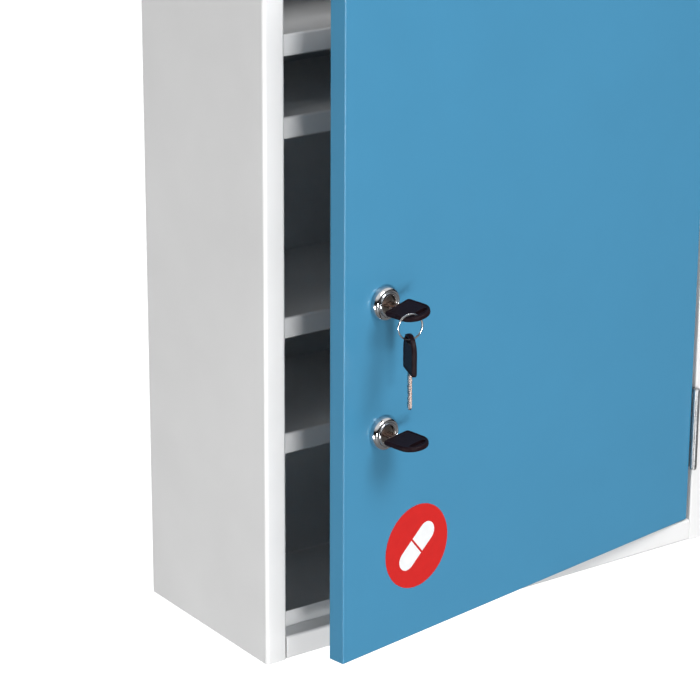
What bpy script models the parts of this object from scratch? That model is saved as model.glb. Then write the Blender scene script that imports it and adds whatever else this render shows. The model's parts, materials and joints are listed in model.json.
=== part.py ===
"""Wall-mounted medicine cabinet: a folded sheet-steel body with four adjustable shelves and an
inset steel door that hangs on two butt hinges and shuts with two keyed cam locks.

Frame: X to the right along the front, Y to the back, Z up. The origin is the middle of the back,
on the wall plane. Each piece is drawn with z = 0 at the cabinet's underside, and HUNG then
lowers it by half the height. Lengths are metres.
"""
import bmesh
import bpy
from math import cos, pi, radians, sin, sqrt, tan
from mathutils import Matrix, Vector

# ---------------------------------------------------------------- driving sizes
WIDTH = 0.4064              # body, over the sides
DEPTH = 0.1524              # body, wall to front flange
HEIGHT = 0.5334             # body, underside to top
SHEET = 0.0012              # steel of the body and the door
GAP = 0.0003                # left between pieces that touch
HAIR = 0.00001              # keeps a cutter's face off the face beside it

FLANGE = 0.0164             # front flange of each side, seen from the front
RAIL = 0.0175               # front rail of the top and the bottom, seen from the front
STOP_LIP = 0.0090           # door stop behind the side flanges
RAIL_LIP = 0.0118           # door stop above the bottom rail and below the top one
FRONT_BEND = 0.0013         # inner radius of the outside front corners
BEND = 0.0006               # inner radius of every other fold

DOOR_DEPTH = 0.0136
DOOR_TO_STOP = 0.0007       # behind the shut door
DOOR_GAP = 0.0014           # at the lock side
DOOR_GAP_ENDS = 0.0012      # above and below
HINGE_GAP = 0.0030          # at the hinge side
DOOR_FLANGE = 0.0140        # fold round the back of the door
DOOR_EDGE = 0.0010          # rounding of the door's front edges
DOOR_OPEN = radians(9.45)   # how far the door stands ajar
STIFFENER_WIDTH = 0.0700    # hat channel over its feet
STIFFENER_CROWN = 0.0400    # hat channel between its webs

SHELF_SHEET = 0.0010
SHELF_LIP = 0.0153          # front lip of a shelf
SHELF_HEM = 0.0070          # fold under the lip
SHELF_BACK = 0.0100         # fold down at the back of a shelf
SHELF_BEHIND_LOCKS = 0.0010 # from the cam screws of the shut door to the shelf lips
SHELF_SLOTS = (2, 4, 9, 12) # slot on which each shelf sits, counted down from the top slot
SLOT_PITCH = 0.0282
SLOT_FIRST = 0.0471         # top of a shelf that sits on the lowest slot
SLOT_HEADROOM = 0.0330      # least height left above a shelf on the top slot
SLOT_SIZE = (0.0060, 0.0044)    # width and height of a slot
STANDARD = (0.0140, 0.0030)     # width and thickness of a slotted standard
STANDARD_INSET = 0.0260     # from the shelf's front or back edge to a standard's middle
STANDARD_END = 0.0060       # standards stop this far from the top and bottom plates
CLIP_SHEET = 0.0012
CLIP_WIDTH = 0.0052
CLIP_LEDGE = 0.0090         # how far a clip reaches under its shelf
CLIP_DROP = 0.0090          # clip leg below its ledge
SHELF_SIDE_PLAY = 0.0006

WALL_HOLE = 0.0070
WALL_HOLE_INSET = (0.0500, 0.0450)  # from the back panel's side and end edges
BACK_FLANGE = 0.0120

HINGE_LENGTH = 0.0640
HINGE_INSET = 0.0750        # from each end of the door to the middle of a hinge
LEAF = 0.0010
LEAF_DEPTH = 0.0105         # how far a leaf reaches behind the front plane
KNUCKLE_RADIUS = 0.0026
PIN_RADIUS = 0.0013
PIN_HEAD = 0.0008

LOCK_INSET = 0.0360         # lock axes from the door's free edge
LOCK_HEIGHTS = (0.2529, 0.1607)     # lock axes above the door's bottom edge, upper first
ROSETTE_RADIUS = 0.0121
ROSETTE_WALL = 0.0030       # from the plug to the rim of the rosette's crown
ROSETTE_HEIGHT = 0.0062
ROSETTE_BASE = 0.0006       # straight edge under the crown
CROWN_DROP = 0.0006         # from the crown's top to the raised ring round the plug
RING_CHAMFER = 0.0006       # both edges of that ring
BARREL_RADIUS = 0.0090
BARREL_TO_CAM = 0.0013      # play between the barrel's end and the cam
PLUG_RADIUS = 0.0062
PLUG_SINK = 0.0012          # plug face below the rosette's rim
PLUG_FIT = 0.0003
NUT_WIDTH = 0.0220
NUT_HEIGHT = 0.0030
CAM_SHEET = 0.0020
CAM_LENGTH = 0.0440
CAM_WIDTH = 0.0150
CAM_PLAY = 0.0008           # between the cam and the back of the door stop
TAIL = 0.0060               # square tail of the plug that drives the cam
CAM_SCREW_RADIUS = 0.0048
CAM_SCREW_HEAD = 0.0020
CAM_SCREW_SLOT = (0.0008, 0.0009)   # width and depth of its slot
KEY_TILTS = (radians(11), radians(5))   # upper and lower key, turned from level

BOW_WIDTH = 0.0230
BOW_LENGTH = 0.0265
BOW_STRAIGHT = 0.0150       # parallel part of the bow, from its shoulder
BOW_THICKNESS = 0.0036
BOW_EDGE = 0.0007
BOW_SLOT = (0.0130, 0.0052)     # across and along the key
BOW_SLOT_CORNER = 0.0015    # rounding of the slot's corners
BOW_SLOT_AT = 0.0214        # slot middle from the shoulder
BOW_REACH = 0.0125          # shoulder in front of the door's face, key pushed home
BLADE_WIDTH = 0.0065
BLADE_THICKNESS = 0.0015
BLADE_LENGTH = 0.0260
BLADE_FIT = 0.0003
BLADE_CUTS = (0.0009, 0.0005, 0.0011, 0.0007)   # depth of each bitting cut, shoulder first

RING_RADIUS = 0.0087
RING_WIRE = 0.00065
RING_DROP = 0.0053          # ring centre below the bow's bridge
RING_BACK = 0.0008          # ring centre behind the middle of the bow's slot
RING_TURN = radians(-10.5)  # direction of the ring's plane, seen from above
SPARE_TURN = radians(69.4)  # direction of the hanging key's flat, seen from above

LABEL_RADIUS = 0.0306
LABEL_SHEET = 0.0003
LABEL_AT = (0.0706, 0.0674)     # from the door's free edge and bottom edge
PILL_LENGTH = 0.0400
PILL_WIDTH = 0.0150
PILL_SPLIT = 0.0016
PILL_TURN = radians(40)

# ---------------------------------------------------------------- worked out from them
HUNG = Matrix.Translation((0, 0, -HEIGHT / 2))
LEFT = -WIDTH / 2
FRONT = -DEPTH
STOP_FACE = FRONT + DOOR_DEPTH + DOOR_TO_STOP
STOP_BACK = STOP_FACE + SHEET
DOOR_WIDTH = WIDTH - 2 * FLANGE - DOOR_GAP - HINGE_GAP
DOOR_HEIGHT = HEIGHT - 2 * (RAIL + DOOR_GAP_ENDS)
DOOR_BOTTOM = RAIL + DOOR_GAP_ENDS
AXIS_OUT = KNUCKLE_RADIUS + GAP
PIVOT = Vector((-LEFT - FLANGE - HINGE_GAP / 2, FRONT - AXIS_OUT, 0))
DOOR_FRAME = Matrix.Translation(PIVOT) @ Matrix.Rotation(DOOR_OPEN, 4, 'Z')
DOOR_RIGHT = -HINGE_GAP / 2             # door edges and face in the door's own frame
DOOR_LEFT = DOOR_RIGHT - DOOR_WIDTH
DOOR_FACE = AXIS_OUT
CAM_FRONT = DOOR_DEPTH + DOOR_TO_STOP + SHEET + CAM_PLAY    # behind the door's face
BARREL_BACK = CAM_FRONT - BARREL_TO_CAM
ROSETTE_RIM = PLUG_RADIUS + ROSETTE_WALL
SHELF_Y = FRONT + CAM_FRONT + CAM_SHEET + GAP + CAM_SCREW_HEAD + SHELF_BEHIND_LOCKS
TOP_SLOT = int((HEIGHT - SLOT_FIRST - SLOT_HEADROOM) / SLOT_PITCH)
SHELF_END_Y = -SHEET - 2 * GAP
CLIP_FACE = SHEET + GAP + STANDARD[1] + GAP
SHELF_HALF = WIDTH / 2 - CLIP_FACE - CLIP_SHEET - SHELF_SIDE_PLAY

WHITE = ((0.80, 0.81, 0.82), 0.38, 0.0)
GREY = ((0.42, 0.44, 0.46), 0.42, 0.0)
BLUE = ((0.08, 0.30, 0.55), 0.34, 0.0)
ZINC = ((0.62, 0.63, 0.64), 0.36, 1.0)
CHROME = ((0.83, 0.84, 0.86), 0.09, 1.0)
BRASS = ((0.52, 0.44, 0.34), 0.30, 1.0)
BLACK = ((0.015, 0.013, 0.016), 0.36, 0.0)
RED = ((0.66, 0.02, 0.02), 0.40, 0.0)
LABEL_WHITE = ((0.86, 0.87, 0.88), 0.42, 0.0)


# ---------------------------------------------------------------- modelling helpers
def clear_scene():
    for item in list(bpy.data.objects):
        bpy.data.objects.remove(item, do_unlink=True)


def finish_of(name, look):
    """A Principled material for one sub-part: colour, roughness and metallic value."""
    colour, roughness, metallic = look
    material = bpy.data.materials.new(name)
    material.use_nodes = True
    shader = material.node_tree.nodes['Principled BSDF']
    shader.inputs['Base Color'].default_value = (*colour, 1)
    shader.inputs['Roughness'].default_value = roughness
    shader.inputs['Metallic'].default_value = metallic
    material.diffuse_color = (*colour, 1)
    return material


def add(name, mesh_maker, look, frame=Matrix()):
    """Add one sub-part, whose mesh mesh_maker draws into a bmesh, in a frame of the cabinet."""
    drawing = bmesh.new()
    mesh_maker(drawing)
    bmesh.ops.recalc_face_normals(drawing, faces=drawing.faces)
    mesh = bpy.data.meshes.new(name)
    drawing.to_mesh(mesh)
    drawing.free()
    item = bpy.data.objects.new(name, mesh)
    bpy.context.scene.collection.objects.link(item)
    if look is not None:
        mesh.materials.append(finish_of(name, look))
    item.matrix_world = HUNG @ frame
    mesh.shade_smooth()
    mesh.set_sharp_from_angle(angle=radians(32))
    return item


def combine(item, operation, mesh_maker):
    """Join or cut the shape that mesh_maker draws, in item's own frame, to or out of item."""
    helper = add(f'{item.name}_{operation.lower()}', mesh_maker, None)
    helper.matrix_world = item.matrix_world
    helper.hide_render = True
    helper.display_type = 'WIRE'
    modifier = item.modifiers.new(operation.lower(), 'BOOLEAN')
    modifier.operation = operation
    modifier.solver = 'EXACT'
    modifier.object = helper


def cut(item, mesh_maker):
    combine(item, 'DIFFERENCE', mesh_maker)


def join(item, mesh_maker):
    combine(item, 'UNION', mesh_maker)


def box(drawing, low, high):
    """A box between two corners; returns its vertices."""
    low, high = Vector(low), Vector(high)
    made = bmesh.ops.create_cube(drawing, size=1)['verts']
    for vert in made:
        vert.co = Vector(low[i] + (vert.co[i] + 0.5) * (high[i] - low[i]) for i in range(3))
    return made


def prism(drawing, outline, start, end, across):
    """Extrude a closed outline of (u, v) points along X, Y or Z, given by across."""
    def at(u, v, w):
        return {'X': (w, u, v), 'Y': (u, w, v), 'Z': (u, v, w)}[across]
    verts = [drawing.verts.new(at(u, v, start)) for u, v in outline]
    face = drawing.faces.new(verts)
    pushed = bmesh.ops.extrude_face_region(drawing, geom=[face])['geom']
    moved = [part for part in pushed if isinstance(part, bmesh.types.BMVert)]
    bmesh.ops.translate(drawing, verts=moved, vec=Vector(at(0, 0, end - start)))
    return verts + moved


def turned(drawing, profile, steps):
    """Spin a closed profile of (radius, y) points round the Y axis."""
    verts = [drawing.verts.new((radius, y, 0)) for radius, y in profile]
    edges = [drawing.edges.new((verts[i], verts[(i + 1) % len(verts)])) for i in range(len(verts))]
    bmesh.ops.spin(drawing, geom=verts + edges, cent=(0, 0, 0), axis=(0, 1, 0), angle=2 * pi,
                   steps=steps, use_merge=True)


def rod(drawing, radius, low, high, steps, across='Z', centre=(0, 0)):
    """A solid cylinder along X, Y or Z, about centre in the other two coordinates."""
    outline = [(centre[0] + radius * cos(2 * pi * i / steps), centre[1] + radius * sin(2 * pi * i / steps))
               for i in range(steps)]
    return prism(drawing, outline, low, high, across)


def sheet(path, thickness, radii, steps=4):
    """Outline of a folded sheet: path is its mid line, radii the inner radius of each fold."""
    points = [Vector(point) for point in path]
    sides = ([], [])
    for index, point in enumerate(points):
        before = (point - points[index - 1]).normalized() if index else None
        after = (points[index + 1] - point).normalized() if index < len(points) - 1 else None
        if before is None or after is None:
            along = after or before
            normal = Vector((-along.y, along.x))
            sides[0].append(point + normal * thickness / 2)
            sides[1].append(point - normal * thickness / 2)
            continue
        turn = before.angle_signed(after) * -1
        hand = 1 if turn > 0 else -1
        middle = radii[index - 1] + thickness / 2
        set_back = middle * tan(abs(turn) / 2)
        centre = point - before * set_back + Vector((-before.y, before.x)) * hand * middle
        for side, offset in ((0, 1), (1, -1)):
            radius = middle - hand * offset * thickness / 2
            for step in range(steps + 1):
                angle = turn * step / steps
                arm = Vector((before.y, -before.x)) * hand
                arm = Vector((arm.x * cos(angle) - arm.y * sin(angle),
                              arm.x * sin(angle) + arm.y * cos(angle)))
                sides[side].append(centre + arm * radius)
    return [tuple(point) for point in sides[0] + sides[1][::-1]]


def mirrored(outline, axis, sign):
    """The outline, flipped in its first (0) or second (1) coordinate when sign is -1."""
    flip = (sign, 1) if axis == 0 else (1, sign)
    return [(u * flip[0], v * flip[1]) for u, v in outline]


def rounded(width, height, radius, steps=6):
    """Outline of a rounded rectangle about the origin."""
    corners = ((1, 1, 0), (-1, 1, pi / 2), (-1, -1, pi), (1, -1, 3 * pi / 2))
    return [(sx * (width / 2 - radius) + radius * cos(start + pi / 2 * i / steps),
             sy * (height / 2 - radius) + radius * sin(start + pi / 2 * i / steps))
            for sx, sy, start in corners for i in range(steps + 1)]


# ---------------------------------------------------------------- body
def side_panel(name, hand):
    """One side with its front flange, return and door stop; hand is -1 left, 1 right."""
    half, lip_x = WIDTH / 2, WIDTH / 2 - FLANGE - STOP_LIP
    inner = half - FLANGE + SHEET / 2
    path = [(half - SHEET / 2, 0), (half - SHEET / 2, FRONT + SHEET / 2), (inner, FRONT + SHEET / 2),
            (inner, STOP_FACE + SHEET / 2), (lip_x, STOP_FACE + SHEET / 2)]
    outline = mirrored(sheet(path, SHEET, (FRONT_BEND, BEND, BEND)), 0, hand)
    item = add(name, lambda d: prism(d, outline, 0, HEIGHT, 'Z'), WHITE)

    def box_at_ends(drawing, xs, ys, rise):
        """A box through each end of the panel that reaches rise into it."""
        for end, into in ((0, 1), (HEIGHT, -1)):
            zs = sorted((end - into * rise, end + into * rise))
            box(drawing, (min(xs), ys[0], zs[0]), (max(xs), ys[1], zs[1]))

    def plate_room(drawing):
        """Room for the front corners of the top and bottom plates."""
        xs = (hand * (half - 2 * SHEET), hand * (lip_x - SHEET))
        box_at_ends(drawing, xs, (FRONT + SHEET, STOP_BACK + SHEET), SHEET + GAP)

    def stop_room(drawing):
        """Room for the door stops of the two rails."""
        xs = (hand * (half - FLANGE), hand * (lip_x - 2 * SHEET))
        box_at_ends(drawing, xs, (STOP_FACE - SHEET, STOP_BACK + 2 * SHEET), RAIL + RAIL_LIP + GAP)
    cut(item, plate_room)
    cut(item, stop_room)
    return item


def end_panel(name, at_top):
    """Top or bottom plate with its front rail, return and door stop."""
    base, up = (HEIGHT, -1) if at_top else (0, 1)
    path = [(0, SHEET / 2), (FRONT + SHEET / 2, SHEET / 2), (FRONT + SHEET / 2, RAIL - SHEET / 2),
            (STOP_FACE + SHEET / 2, RAIL - SHEET / 2), (STOP_FACE + SHEET / 2, RAIL + RAIL_LIP)]
    outline = [(y, base + up * z) for y, z in sheet(path, SHEET, (FRONT_BEND, BEND, BEND))]
    half = WIDTH / 2 - SHEET - GAP
    item = add(name, lambda d: prism(d, outline, -half, half, 'X'), WHITE)

    def box_at_sides(drawing, ys, zs):
        """A box over each end of the plate's front, in the width of a side flange."""
        for hand in (-1, 1):
            xs = sorted((hand * (WIDTH / 2 - FLANGE - GAP), hand * WIDTH / 2))
            box(drawing, (xs[0], ys[0], min(zs)), (xs[1], ys[1], max(zs)))

    def rail_ends(drawing):
        """Clear the side flanges: the rail, its return and its stop end beside them."""
        zs = (base + up * (SHEET + HAIR), base + up * (RAIL + RAIL_LIP + SHEET))
        box_at_sides(drawing, (FRONT - 2 * SHEET, STOP_BACK + GAP), zs)

    def plate_corners(drawing):
        """The plate's own corners stop behind the side flanges."""
        zs = (base - up * SHEET, base + up * (RAIL + RAIL_LIP + 2 * SHEET))
        box_at_sides(drawing, (FRONT - SHEET, FRONT + SHEET + FRONT_BEND), zs)
    cut(item, rail_ends)
    cut(item, plate_corners)
    return item


def back_panel():
    """Back sheet with a flange up each side and four wall holes."""
    half = WIDTH / 2 - SHEET - GAP
    path = [(-half + SHEET / 2, -BACK_FLANGE), (-half + SHEET / 2, -SHEET / 2),
            (half - SHEET / 2, -SHEET / 2), (half - SHEET / 2, -BACK_FLANGE)]
    outline = sheet(path, SHEET, (BEND, BEND))
    low, high = SHEET + GAP, HEIGHT - SHEET - GAP
    item = add('back_panel', lambda d: prism(d, outline, low, high, 'Z'), WHITE)

    def holes(drawing):
        for x in (-half + WALL_HOLE_INSET[0], half - WALL_HOLE_INSET[0]):
            for z in (low + WALL_HOLE_INSET[1], high - WALL_HOLE_INSET[1]):
                rod(drawing, WALL_HOLE / 2, -3 * SHEET, SHEET, 24, 'Y', (x, z))
    cut(item, holes)
    return item


def standard_places():
    """X hand and Y middle of the four slotted standards, with a name for each."""
    ys = {'front': SHELF_Y + STANDARD_INSET, 'back': SHELF_END_Y - STANDARD_INSET}
    return [(side, end, hand, ys[end]) for side, hand in (('left', -1), ('right', 1))
            for end in ('front', 'back')]


def shelf_height(slots_down):
    """Top of a shelf that sits so many slots below the top one."""
    return SLOT_FIRST + (TOP_SLOT - slots_down) * SLOT_PITCH


def slot_height(slots_down):
    """Middle of a slot: its clip's tab goes in level with the underside of the shelf."""
    return shelf_height(slots_down) - SHELF_SHEET - GAP - CLIP_SHEET / 2


def standard(side, end, hand, y):
    """A slotted steel strip on the inside of a side panel."""
    outer, inner = WIDTH / 2 - SHEET - GAP, WIDTH / 2 - SHEET - GAP - STANDARD[1]
    xs = sorted((hand * outer, hand * inner))
    low, high = SHEET + STANDARD_END, HEIGHT - SHEET - STANDARD_END
    item = add(f'standard_{side}_{end}',
               lambda d: box(d, (xs[0], y - STANDARD[0] / 2, low), (xs[1], y + STANDARD[0] / 2, high)), GREY)

    def slots(drawing):
        for slots_down in range(TOP_SLOT + 1):
            middle = slot_height(slots_down)
            box(drawing, (xs[0] - SHEET / 2, y - SLOT_SIZE[0] / 2, middle - SLOT_SIZE[1] / 2),
                (xs[1] + SHEET / 2, y + SLOT_SIZE[0] / 2, middle + SLOT_SIZE[1] / 2))
    cut(item, slots)
    return item


def shelf(number, slots_down):
    """Flat shelf with a deep hemmed lip in front and a short fold at the back."""
    top = shelf_height(slots_down)
    middle = SHELF_SHEET / 2
    path = [(SHELF_Y + SHELF_HEM, top - SHELF_LIP + middle), (SHELF_Y + middle, top - SHELF_LIP + middle),
            (SHELF_Y + middle, top - middle), (SHELF_END_Y - middle, top - middle),
            (SHELF_END_Y - middle, top - SHELF_BACK)]
    outline = sheet(path, SHELF_SHEET, (BEND, BEND, BEND))
    return add(f'shelf_{number}', lambda d: prism(d, outline, -SHELF_HALF, SHELF_HALF, 'X'), WHITE)


def clip(number, slots_down, side, end, hand, y):
    """A clip: tab through the standard's slot, ledge under the shelf and a leg down the standard."""
    middle = slot_height(slots_down)
    tab = WIDTH / 2 - SHEET - 2 * GAP
    face = WIDTH / 2 - CLIP_FACE
    ledge = [(tab, middle + CLIP_SHEET / 2), (face - CLIP_LEDGE, middle + CLIP_SHEET / 2),
             (face - CLIP_LEDGE, middle - CLIP_SHEET / 2), (face - CLIP_SHEET, middle - CLIP_SHEET / 2),
             (face - CLIP_SHEET, middle - CLIP_DROP), (face, middle - CLIP_DROP),
             (face, middle - CLIP_SHEET / 2), (tab, middle - CLIP_SHEET / 2)]
    outline = [(hand * x, z) for x, z in ledge]
    return add(f'clip_{number}_{side}_{end}',
               lambda d: prism(d, outline, y - CLIP_WIDTH / 2, y + CLIP_WIDTH / 2, 'Y'), ZINC)


# ---------------------------------------------------------------- door
def door_pan():
    """Outer door sheet with its four edges and the flange round its back."""
    low, high = DOOR_BOTTOM, DOOR_BOTTOM + DOOR_HEIGHT

    def slab(drawing):
        box(drawing, (DOOR_LEFT, DOOR_FACE, low), (DOOR_RIGHT, DOOR_FACE + DOOR_DEPTH, high))
        front = [edge for edge in drawing.edges if all(vert.co.y < DOOR_FACE + 1e-6 for vert in edge.verts)]
        bmesh.ops.bevel(drawing, geom=front, offset=DOOR_EDGE, offset_type='OFFSET', segments=3,
                        profile=0.5, affect='EDGES')
    item = add('door_pan', slab, BLUE, DOOR_FRAME)
    inner = DOOR_FACE + DOOR_DEPTH - SHEET
    cut(item, lambda d: box(d, (DOOR_LEFT + SHEET, DOOR_FACE + SHEET, low + SHEET),
                            (DOOR_RIGHT - SHEET, inner, high - SHEET)))
    cut(item, lambda d: box(d, (DOOR_LEFT + DOOR_FLANGE, inner - SHEET, low + DOOR_FLANGE),
                            (DOOR_RIGHT - DOOR_FLANGE, inner + 2 * SHEET, high - DOOR_FLANGE)))

    def lock_holes(drawing):
        for height in LOCK_HEIGHTS:
            rod(drawing, BARREL_RADIUS + GAP, DOOR_FACE - SHEET, DOOR_FACE + 2 * SHEET, 36, 'Y',
                (DOOR_LEFT + LOCK_INSET, low + height))
    cut(item, lock_holes)
    return item


def door_stiffener():
    """Hat-section channel up the middle of the door, behind its face."""
    low, high = DOOR_BOTTOM + SHEET + GAP, DOOR_BOTTOM + DOOR_HEIGHT - SHEET - GAP
    middle, foot, web = DOOR_LEFT + DOOR_WIDTH / 2, STIFFENER_WIDTH / 2, STIFFENER_CROWN / 2
    near = DOOR_FACE + SHEET + GAP + SHEET / 2
    far = DOOR_FACE + DOOR_DEPTH - SHEET - GAP - SHEET / 2
    path = [(middle - foot, near), (middle - web, near), (middle - web, far), (middle + web, far),
            (middle + web, near), (middle + foot, near)]
    outline = sheet(path, SHEET, (BEND,) * 4)
    return add('door_stiffener', lambda d: prism(d, outline, low, high, 'Z'), WHITE, DOOR_FRAME)


def label_frame():
    """Middle of the round label on the door's face, with X along the door and Z up."""
    place = Vector((DOOR_LEFT + LABEL_AT[0], DOOR_FACE - GAP, DOOR_BOTTOM + LABEL_AT[1]))
    return DOOR_FRAME @ Matrix.Translation(place)


def pill_half(outward, clearance):
    """Outline of half a capsule, flat end near the split; clearance widens it all round."""
    radius, steps = PILL_WIDTH / 2 + clearance, 12
    start = PILL_SPLIT / 2 - clearance
    far = PILL_LENGTH / 2 - PILL_WIDTH / 2
    points = [(start, radius)]
    points += [(far + radius * sin(pi * i / steps), radius * cos(pi * i / steps)) for i in range(steps + 1)]
    points += [(start, -radius)]
    return [(outward * (x * cos(PILL_TURN) - z * sin(PILL_TURN)),
             outward * (x * sin(PILL_TURN) + z * cos(PILL_TURN))) for x, z in points]


def label():
    """Round label with a capsule sign let into it, in two halves."""
    frame = label_frame()
    disc = add('label_disc', lambda d: rod(d, LABEL_RADIUS, -LABEL_SHEET, 0, 64, 'Y'), RED, frame)

    def sockets(drawing):
        for outward in (-1, 1):
            prism(drawing, pill_half(outward, GAP), -2 * LABEL_SHEET, LABEL_SHEET, 'Y')
    cut(disc, sockets)
    for name, outward in (('label_pill_lower', -1), ('label_pill_upper', 1)):
        outline = pill_half(outward, 0)
        add(name, lambda d: prism(d, outline, -LABEL_SHEET, 0, 'Y'), LABEL_WHITE, frame)


# ---------------------------------------------------------------- hinges
def knuckle_spans(height):
    """Low and high z of the three knuckles of a hinge whose middle is at height."""
    third = (HINGE_LENGTH - 2 * GAP) / 3
    low = height - HINGE_LENGTH / 2
    return [(low + i * (third + GAP), low + i * (third + GAP) + third) for i in range(3)]


def hinge_leaf(name, hand, spans, all_spans, frame):
    """Leaf with its knuckles, in the pivot's frame; hand is -1 for the door's, 1 for the body's."""
    low, high = all_spans[0][0], all_spans[-1][1]
    near, far = sorted((hand * GAP * 2 / 3, hand * (GAP * 2 / 3 + LEAF)))
    flat_from = KNUCKLE_RADIUS + GAP

    def flat(drawing):
        box(drawing, (near, flat_from, low), (far, AXIS_OUT + LEAF_DEPTH, high))
    item = add(name, flat, ZINC, frame)

    def knuckles(drawing):
        for start, end in spans:
            rod(drawing, KNUCKLE_RADIUS, start, end, 24)

    def webs(drawing):
        for start, end in spans:
            box(drawing, (near, 0, start), (far, flat_from + LEAF, end))

    def pin_hole(drawing):
        rod(drawing, PIN_RADIUS + GAP, low - LEAF, high + LEAF, 20)
    join(item, webs)
    join(item, knuckles)
    cut(item, pin_hole)
    return item


def hinge(label_name, height):
    spans = knuckle_spans(height)
    body_frame = Matrix.Translation(PIVOT)
    hinge_leaf(f'hinge_{label_name}_body_leaf', 1, spans[::2], spans, body_frame)
    hinge_leaf(f'hinge_{label_name}_door_leaf', -1, spans[1:2], spans, DOOR_FRAME)

    def pin(drawing):
        profile = [(0, -PIN_HEAD), (KNUCKLE_RADIUS * 0.85, -PIN_HEAD), (KNUCKLE_RADIUS * 0.85, 0),
                   (PIN_RADIUS, 0), (PIN_RADIUS, HINGE_LENGTH + GAP)]
        upright_turned(drawing, profile, 20)
    foot = Matrix.Translation(PIVOT + Vector((0, 0, spans[0][0] - GAP)))
    add(f'hinge_{label_name}_pin', pin, ZINC, foot)


def upright_turned(drawing, profile, steps):
    """Turn an open profile of (radius, z) points, whose ends meet the Z axis, into a solid."""
    rings = []
    for radius, z in profile:
        if radius == 0:
            continue
        rings.append([drawing.verts.new((radius * cos(2 * pi * i / steps), radius * sin(2 * pi * i / steps), z))
                      for i in range(steps)])
    for lower, upper in zip(rings, rings[1:]):
        for i in range(steps):
            after = (i + 1) % steps
            drawing.faces.new((lower[i], lower[after], upper[after], upper[i]))
    drawing.faces.new(rings[0][::-1])
    drawing.faces.new(rings[-1])


# ---------------------------------------------------------------- locks and keys
def lock_frame(height):
    """On the door's face at a lock axis: X along the door, Y into the cabinet, Z up."""
    place = Vector((DOOR_LEFT + LOCK_INSET, DOOR_FACE, DOOR_BOTTOM + height))
    return DOOR_FRAME @ Matrix.Translation(place)


def housing(name, frame):
    """Rosette and barrel of a cam lock in one turned piece, bored for the plug."""
    crown, steps = [], 6
    rise = ROSETTE_HEIGHT - GAP - ROSETTE_BASE - CROWN_DROP
    for i in range(steps + 1):
        angle = pi / 2 * i / steps
        crown.append((ROSETTE_RIM + (ROSETTE_RADIUS - ROSETTE_RIM) * cos(angle),
                      -GAP - ROSETTE_BASE - rise * sin(angle)))
    bore = PLUG_RADIUS + PLUG_FIT
    ring = [(ROSETTE_RIM - RING_CHAMFER, -ROSETTE_HEIGHT + CROWN_DROP / 2),
            (ROSETTE_RIM - 2 * RING_CHAMFER, -ROSETTE_HEIGHT),
            (bore + RING_CHAMFER, -ROSETTE_HEIGHT), (bore, -ROSETTE_HEIGHT + RING_CHAMFER)]
    profile = [(BARREL_RADIUS, BARREL_BACK), (BARREL_RADIUS, -GAP), (ROSETTE_RADIUS, -GAP)]
    profile += crown + ring + [(bore, BARREL_BACK)]
    return add(name, lambda d: turned(d, profile, 40), CHROME, frame)


def nut(name, frame):
    """Thin hexagon nut behind the door sheet."""
    start = SHEET + GAP
    outline = [(NUT_WIDTH / sqrt(3) * cos(pi / 3 * i), NUT_WIDTH / sqrt(3) * sin(pi / 3 * i)) for i in range(6)]
    item = add(name, lambda d: prism(d, outline, start, start + NUT_HEIGHT, 'Y'), ZINC, frame)
    cut(item, lambda d: rod(d, BARREL_RADIUS + GAP, 0, start + 2 * NUT_HEIGHT, 36, 'Y'))
    return item


def plug(name, frame):
    """Rotating plug: keyway in front, square tail for the cam behind."""
    face, shoulder = -ROSETTE_HEIGHT + PLUG_SINK, CAM_FRONT - GAP
    item = add(name, lambda d: rod(d, PLUG_RADIUS, face, shoulder, 32, 'Y'), BRASS, frame)

    def tail(drawing):
        end = CAM_FRONT + CAM_SHEET - GAP
        half = TAIL / 2
        box(drawing, (-half, shoulder - 2 * CAM_SHEET, -half), (half, end, half))
    join(item, tail)
    depth = BLADE_LENGTH - BOW_REACH + 2 * GAP
    cut(item, lambda d: box(d, (-BLADE_WIDTH / 2 - BLADE_FIT, face - SHEET, -BLADE_THICKNESS / 2 - BLADE_FIT),
                            (BLADE_WIDTH / 2 + BLADE_FIT, depth, BLADE_THICKNESS / 2 + BLADE_FIT)))
    return item


def cam(name, frame):
    """Straight cam with a round hub and a square hole, reaching up from the plug."""
    hub, steps = CAM_WIDTH / 2, 16
    outline = [(hub * cos(pi + pi * i / steps), hub * sin(pi + pi * i / steps)) for i in range(steps + 1)]
    tip = hub * 0.35
    outline += [(hub * 0.8, CAM_LENGTH - tip), (hub * 0.8 - tip, CAM_LENGTH),
                (tip - hub * 0.8, CAM_LENGTH), (-hub * 0.8, CAM_LENGTH - tip)]
    item = add(name, lambda d: prism(d, outline, CAM_FRONT, CAM_FRONT + CAM_SHEET, 'Y'), ZINC, frame)
    half = TAIL / 2 + GAP
    cut(item, lambda d: box(d, (-half, CAM_FRONT - CAM_SHEET, -half), (half, CAM_FRONT + 2 * CAM_SHEET, half)))
    return item


def cam_screw(name, frame):
    """Domed screw head that holds the cam on the plug's tail."""
    start = CAM_FRONT + CAM_SHEET + GAP
    item = add(name, lambda d: rod(d, CAM_SCREW_RADIUS, start, start + CAM_SCREW_HEAD, 24, 'Y'), ZINC, frame)
    half, floor = CAM_SCREW_SLOT[0] / 2, start + CAM_SCREW_HEAD - CAM_SCREW_SLOT[1]
    cut(item, lambda d: box(d, (-2 * CAM_SCREW_RADIUS, floor, -half),
                            (2 * CAM_SCREW_RADIUS, start + 2 * CAM_SCREW_HEAD, half)))
    return item


def bow_outline():
    """Key bow seen flat: square shoulder, parallel sides and an elliptical end."""
    half, reach, steps = BOW_WIDTH / 2, BOW_LENGTH - BOW_STRAIGHT, 14
    points = [(-half, 0), (-half, -BOW_STRAIGHT)]
    points += [(-half * cos(pi * i / steps), -BOW_STRAIGHT - reach * sin(pi * i / steps))
               for i in range(1, steps)]
    return points + [(half, -BOW_STRAIGHT), (half, 0)]


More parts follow.
